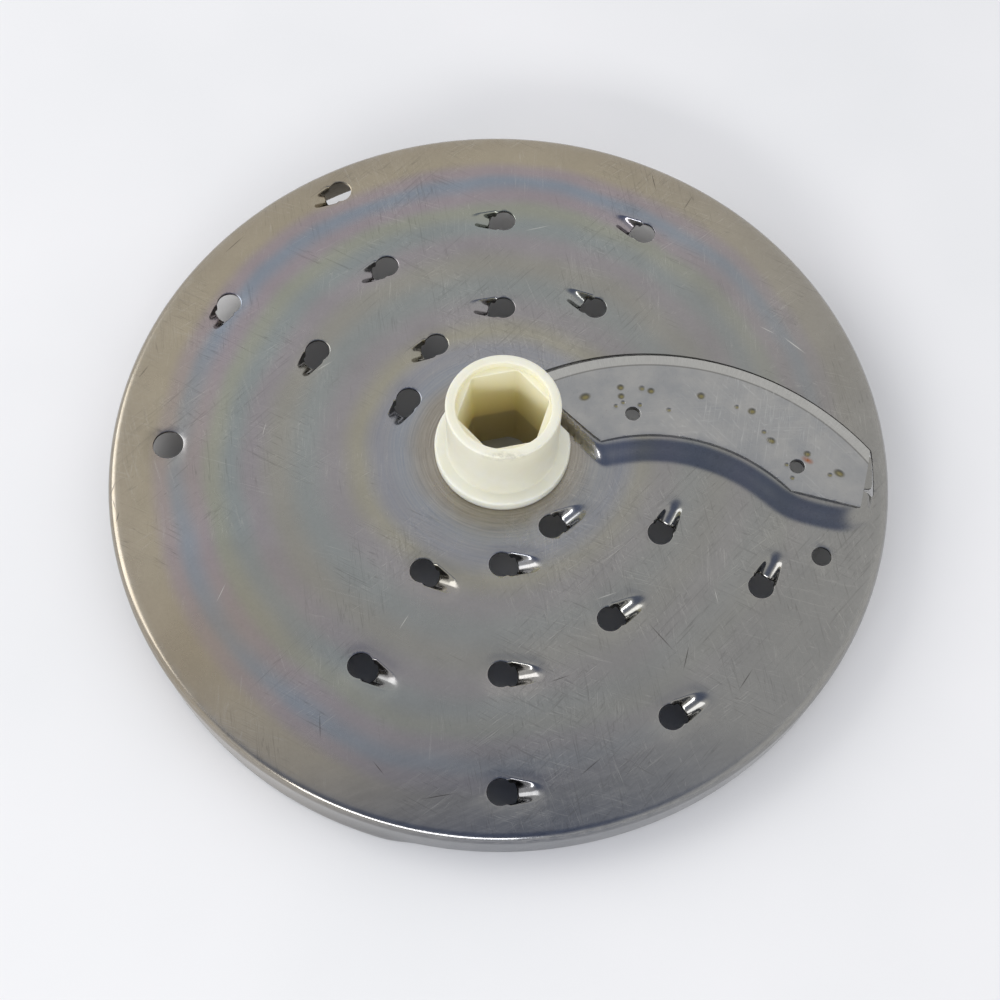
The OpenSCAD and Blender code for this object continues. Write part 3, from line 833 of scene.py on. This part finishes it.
def blade_material():
    """Ground stainless strip: paler than the plate, brown-olive stains in the weld marks, rust beside one of
    them, and a bright bevel that the grindstone left streaked."""
    m = Nodes("stainless_blade_ground")
    body = m.mix(m.add("ShaderNodeMapRange", {0: m.noise(0.12, 4.0, 0.6), 1: 0.35, 2: 0.65}),
                 colour("#969798"), colour("#a5a4a2"))
    speck = m.add("ShaderNodeMapRange", {0: m.noise(2.4, 5.0, 0.75), 1: 0.58, 2: 0.70})
    body = m.mix(m.math("MULTIPLY", speck, 0.35), body, colour("#6f6d68"))
    for x, y, long, short, a in WELDS:
        weight = 0.85 if long > 0.7 else 0.6
        mark = m.math("MULTIPLY", m.spot(x, y, long * 1.25, short * 1.3, a, 0.45), weight)
        core = m.math("MULTIPLY", m.spot(x + 0.1, y - 0.05, long * 0.7, short * 0.65, a, 0.6), 0.7)
        body = m.mix(mark, body, colour("#5f5a44"))
        body = m.mix(core, body, colour("#8d8456"))
    rust = m.math("MULTIPLY", m.spot(66.2, -3.5, 1.7, 0.9, -30, 0.9), m.noise(1.2, 5.0, 0.7))
    body = m.mix(m.math("MULTIPLY", rust, 1.6, True), body, colour("#9a5a2c"))
    cx, cy = float(EDGE_C[0]), float(EDGE_C[1])
    dx, dy = m.math("SUBTRACT", m.x, cx), m.math("SUBTRACT", m.y, cy)
    r = m.math("SQRT", m.math("ADD", m.math("MULTIPLY", dx, dx), m.math("MULTIPLY", dy, dy)))
    turn = m.math("ARCTAN2", dy, dx)
    bevel = m.add("ShaderNodeMapRange", {0: r, 1: EDGE_R - BEVEL_W - 0.08, 2: EDGE_R - BEVEL_W + 0.1})
    grind = m.add("ShaderNodeCombineXYZ", {0: m.math("MULTIPLY", turn, 220.0), 1: m.math("MULTIPLY", r, 0.4), 2: 0.0})
    streak = m.noise(1.0, 4.0, 0.6, grind)
    bright = m.mix(streak, colour("#9c9b98"), colour("#c2c1bd"))
    body = m.mix(m.math("MULTIPLY", bevel, 0.8), body, bright)
    line = m.add("ShaderNodeMapRange", {0: m.math("ABSOLUTE", m.math("SUBTRACT", r, EDGE_R - BEVEL_W)),
                                        1: 0.08, 2: 0.30, 3: 0.55, 4: 0.0})
    body = m.mix(line, body, colour("#55534f"))
    fine = scratches(m, 3, 7)
    body = m.mix(m.math("MULTIPLY", fine, 0.3), body, colour("#cfcfcc"))
    height = m.math("MULTIPLY", m.noise(1.4, 4.0, 0.6), 0.006)
    bump = m.add("ShaderNodeBump", {"Strength": 1.0, "Distance": 0.001, "Height": height})
    rough = m.add("ShaderNodeMapRange", {0: m.noise(0.4, 4.0), 1: 0.3, 2: 0.7, 3: 0.32, 4: 0.44})
    return m.finish(**{"Base Color": body, "Metallic": 1.0, "Roughness": rough, "Normal": bump})


def hub_material():
    """Ivory moulded plastic with painted light and shade in the socket, paler near its mouth and darker and yellower
    lower down, and grey smudges on the front of its top edge.
    """
    m = Nodes("ivory_plastic_moulded")
    r = m.math("SQRT", m.math("ADD", m.math("MULTIPLY", m.x, m.x), m.math("MULTIPLY", m.y, m.y)))
    # Painted light and shade inside the socket: its walls paler near the mouth, darker and yellower lower down.
    low = m.add("ShaderNodeMapRange", {0: m.z, 1: 33.0, 2: 12.0})
    within = m.add("ShaderNodeMapRange", {0: r, 1: 10.6, 2: 9.7})
    body = m.mix(m.add("ShaderNodeMapRange", {0: m.noise(0.12, 3.0), 1: 0.3, 2: 0.7}), colour("#e6e4d5"), colour("#e0ddca"))
    socket_light_and_shade = m.mix(low, colour("#f3edd2"), colour("#e2d69c"))
    body = m.mix(m.math("MULTIPLY", within, 0.95), body, socket_light_and_shade)
    smudge = m.math("MULTIPLY", m.spot(0.5, -11.6, 8.0, 1.3, 0, 0.9), m.add("ShaderNodeMapRange", {0: m.z, 1: 32.0, 2: 33.6}))
    smudge = m.math("MULTIPLY", smudge, m.add("ShaderNodeMapRange", {0: m.noise(0.9, 5.0, 0.7), 1: 0.42, 2: 0.62}))
    body = m.mix(m.math("MULTIPLY", smudge, 0.5), body, colour("#8f8d86"))
    foot = m.math("MULTIPLY", m.add("ShaderNodeMapRange", {0: m.z, 1: 15.0, 2: 14.0}), 0.5)
    body = m.mix(foot, body, colour("#a79d80"))
    speck = m.add("ShaderNodeMapRange", {0: m.noise(1.3, 4.0, 0.8), 1: 0.66, 2: 0.74})
    body = m.mix(m.math("MULTIPLY", speck, 0.25), body, colour("#b5ad93"))
    height = m.math("ADD", m.math("MULTIPLY", m.noise(0.25, 2.0), 0.02), m.math("MULTIPLY", m.noise(2.5, 3.0), 0.003))
    bump = m.add("ShaderNodeBump", {"Strength": 1.0, "Distance": 0.001, "Height": height})
    rough = m.add("ShaderNodeMapRange", {0: m.noise(0.5, 4.0), 1: 0.3, 2: 0.7, 3: 0.36, 4: 0.5})
    return m.finish(**{"Base Color": body, "Roughness": rough, "Normal": bump, "IOR": 1.5,
                       "Subsurface Weight": 0.55, "Subsurface Scale": 1.0, "Subsurface Radius": (0.007, 0.006, 0.0035)})


def table_material():
    """White table, off-white and faintly uneven."""
    m = Nodes("white_table")
    tone = m.add("ShaderNodeMapRange", {0: m.noise(0.012, 3.0, 0.5), 1: 0.3, 2: 0.7})
    body = m.mix(tone, colour("#e9e9e9"), colour("#efeeee"))
    return m.finish(**{"Base Color": body, "Roughness": 0.85})


plate_steel = plate_material()
blade_steel = blade_material()
ivory = hub_material()

disc = new_object("stamped_disc", *disc_mesh(), plate_steel, 40)
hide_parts("disc")
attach(disc, "root")

blade = new_object("curved_blade", *blade_mesh(), blade_steel, 12)
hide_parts("slicing_blade")
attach(blade, "root")

hub = new_object("drive_hub", *hub_mesh(), ivory, 30)
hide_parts("hub")
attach(hub, "root")

# A white table. It leans as in the photograph, where the hub's front edge and
# the rim's front edge touch it, so the back of the rim stands clear.
LEAN = math.atan2(DISC_R * 0 + 3.7, 85.0 - 12.0)
floor_mesh = bpy.data.meshes.new("table")
s = 1.2
pts = []
for x, y in ((-s, -s), (s, -s), (s, s), (-s, s)):
    pts.append((x, y, -math.tan(LEAN) * (y + 0.012)))
floor_mesh.from_pydata(pts, [], [(0, 1, 2, 3)])
table = bpy.data.objects.new("table", floor_mesh)
bpy.context.scene.collection.objects.link(table)
floor_mesh.materials.append(table_material())


def camera():
    """The photograph's camera, from the calibration against the disc's outline, the teeth and the hub."""
    turn = math.radians(-1.10)
    el, roll = math.radians(63.68), math.radians(-1.63)
    pan, tilt = math.radians(-1.49), math.radians(-2.22)
    far = 0.30236
    c = np.array([0.0, -math.cos(el), math.sin(el)]) * far
    fwd = -c / np.linalg.norm(c)
    right = np.array([1.0, 0.0, 0.0])
    up = np.cross(right, fwd)

    def about(v, axis, t):
        return v * math.cos(t) + np.cross(axis, v) * math.sin(t) + axis * np.dot(axis, v) * (1 - math.cos(t))

    right, up = about(right, fwd, roll), about(up, fwd, roll)
    fwd, right = about(fwd, up, pan), about(right, up, pan)
    fwd, up = about(fwd, right, tilt), about(up, right, tilt)
    z = np.array([0.0, 0.0, 1.0])
    c, fwd, right, up = (about(v, z, turn) for v in (c, fwd, right, up))
    data = bpy.data.cameras.new("camera")
    data.sensor_width = 36.0
    data.lens = 1382.9 / 1000 * 36.0
    data.shift_x = -(538.4 - 500) / 1000
    data.shift_y = (502.0 - 500) / 1000
    data.clip_start, data.clip_end = 0.01, 20
    obj = bpy.data.objects.new("camera", data)
    bpy.context.scene.collection.objects.link(obj)
    rot = Matrix([[right[i], up[i], -fwd[i]] for i in range(3)])
    obj.matrix_world = Matrix.Translation((c[0], c[1], c[2] + TOP * 0.001)) @ rot.to_4x4()
    bpy.context.scene.camera = obj


camera()


def lamp(name, place, size, power, tint="#ffffff"):
    """A square area lamp that faces the disc."""
    data = bpy.data.lights.new(name, "AREA")
    data.size = size
    data.energy = power
    data.color = colour(tint)[:3]
    obj = bpy.data.objects.new(name, data)
    obj.location = place
    obj.rotation_euler = (Vector((0, 0, 0.01)) - Vector(place)).to_track_quat("-Z", "Y").to_euler()
    bpy.context.scene.collection.objects.link(obj)
    return obj


lamp("window", (-1.1, 0.35, 0.85), 0.9, 6.0)
strip = lamp("front_lamp", (-0.42, -1.22, 0.70), 0.30, 9.0)
strip.data.shape = "RECTANGLE"
strip.data.size, strip.data.size_y = 1.1, 0.22


def room():
    """A pale room that darkens to slate blue overhead in front, where the photographer leans over the disc."""
    world = bpy.data.worlds.new("room")
    bpy.context.scene.world = world
    world.use_nodes = True
    tree = world.node_tree
    tree.nodes.clear()

    def node(kind, inputs=None, **settings):
        made = tree.nodes.new(kind)
        for key, value in settings.items():
            setattr(made, key, value)
        for key, value in (inputs or {}).items():
            if isinstance(value, bpy.types.NodeSocket):
                tree.links.new(value, made.inputs[key])
            else:
                made.inputs[key].default_value = value
        return made

    coords = node("ShaderNodeTexCoord")
    aim = Vector((-0.12, -0.40, 0.90)).normalized()
    dot = node("ShaderNodeVectorMath", {0: coords.outputs["Generated"], 1: aim}, operation="DOT_PRODUCT")
    share = node("ShaderNodeMapRange", {0: dot.outputs["Value"], 1: 0.68, 2: 0.97}, interpolation_type="SMOOTHSTEP")
    mix = node("ShaderNodeMix", {0: share.outputs[0]}, data_type="RGBA")
    mix.inputs[6].default_value = colour("#f6f6f6")
    mix.inputs[7].default_value = colour("#828ca6")
    light = node("ShaderNodeBackground", {0: mix.outputs[2], 1: 0.98})
    out = node("ShaderNodeOutputWorld")
    tree.links.new(light.outputs[0], out.inputs[0])


room()

bpy.context.scene.view_settings.view_transform = "Standard"
